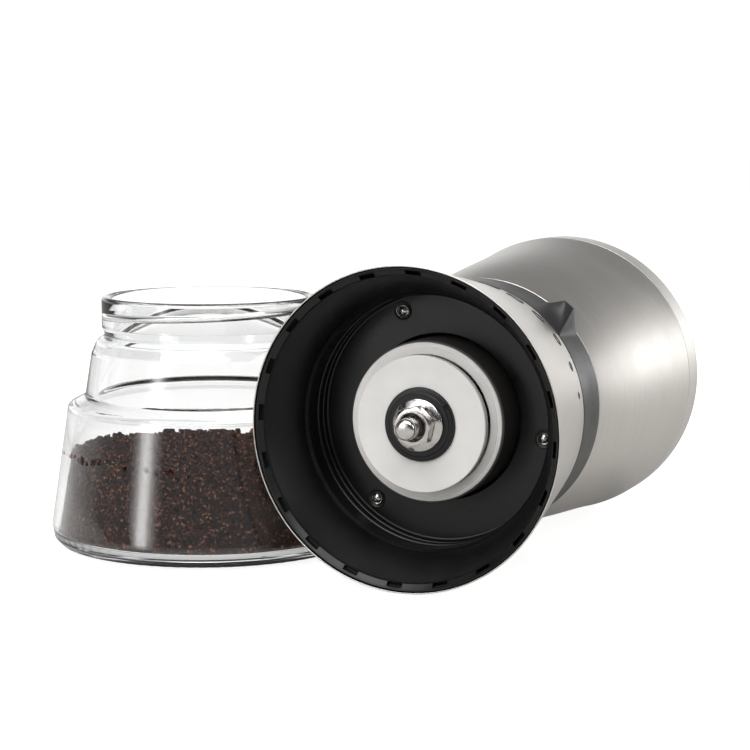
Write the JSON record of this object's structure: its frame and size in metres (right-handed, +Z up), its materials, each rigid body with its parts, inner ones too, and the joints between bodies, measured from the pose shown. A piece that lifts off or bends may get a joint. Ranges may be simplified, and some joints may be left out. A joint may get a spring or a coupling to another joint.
{
  "type": "hand crank coffee grinder",
  "caption": "Hand coffee grinder taken apart for use: flared steel grinder head with ceramic burrs and crank lying beside the glass jar of grounds that it screws onto.",
  "frame": {"origin": "middle of the glass jar's foot, on the surface that the jar and the head stand on", "axes": "+Z up out of the jar's neck, +Y away from the side that the head's mouth faces, +X towards the grinder head"},
  "size_m": [0.2003, 0.2254, 0.088],
  "materials": {
    "skirt_steel": "brushed along its length of turn, satin",
    "hopper_steel": "brushed round the barrel, satin",
    "black_plastic": "moulded, satin black",
    "ring_plastic": "moulded, dark grey, soft sheen",
    "ceramic": "ground and fired, matt white",
    "bright_steel": "bright plated steel",
    "bronze": "sintered bearing bronze",
    "glass": "clear moulded glass",
    "grounds": "medium-fine ground coffee",
    "silicone": "soft grey silicone",
    "knob_plastic": "moulded black with a soft gloss"
  },
  "bodies": {
    "head": {"skirt_shell": "skirt_steel", "skirt_liner": "black_plastic", "liner_screws": "bright_steel", "lower_bush": "bronze", "upper_bush": "bronze", "lower_bridge": "black_plastic", "upper_bridge": "black_plastic", "hopper_core": "black_plastic", "hopper_shell": "hopper_steel"},
    "ring": {"adjusting_ring": "ring_plastic"},
    "carrier": {"burr_carrier": "black_plastic", "outer_burr": "ceramic"},
    "drive": {"drive_shaft": "bright_steel", "inner_burr": "ceramic", "burr_hub": "black_plastic", "flange_nut": "bright_steel", "thrust_washer": "bright_steel", "thrust_spring": "bright_steel", "shaft_clip": "bright_steel"},
    "crank": {"crank_hub": "bright_steel", "crank_arm": "hopper_steel", "knob_pin": "bright_steel"},
    "knob": {"crank_knob": "knob_plastic", "knob_cap": "knob_plastic"},
    "lid": {"lid_shell": "hopper_steel", "lid_plug": "black_plastic", "lid_gasket": "silicone"},
    "jar": {"glass_jar": "glass", "coffee_grounds": "grounds"}
  },
  "joints": [
    {"name": "crank_turn", "type": "hinge", "parent": "head", "child": "drive", "pos_m": [0.0564, -0.0717, 0.044], "axis": [0.3907, 0.9205, 0], "continuous": true},
    {"name": "ring_turn", "type": "hinge", "parent": "head", "child": "ring", "pos_m": [0.07672, -0.02383, 0.044], "axis": [0.3907, 0.9205, 0], "range_deg": [-36, 27]},
    {"name": "burr_lift", "type": "slide", "parent": "head", "child": "carrier", "axis": [0.3907, 0.9205, 0], "range_m": [-0.00043, 0.00058]},
    {"name": "lid_pull", "type": "slide", "parent": "head", "child": "lid", "axis": [0.3907, 0.9205, 0], "range_m": [0, 0.06]},
    {"name": "crank_pull", "type": "slide", "parent": "drive", "child": "crank", "axis": [0.3907, 0.9205, 0], "range_m": [0, 0.06]},
    {"name": "knob_spin", "type": "hinge", "parent": "crank", "child": "knob", "pos_m": [0.04159, 0.09819, 0.01248], "axis": [0.3907, 0.9205, 0], "continuous": true},
    {"name": "jar_slide", "type": "slide", "parent": "head", "child": "jar", "axis": [-0.9205, 0.3907, 0], "range_m": [0, 0.1]}
  ],
  "couplings": [
    {"joint": "burr_lift", "follows": "ring_turn", "m_per_rad": -0.00091},
    {"joint": "crank_pull", "follows": "lid_pull", "ratio": 1}
  ]
}
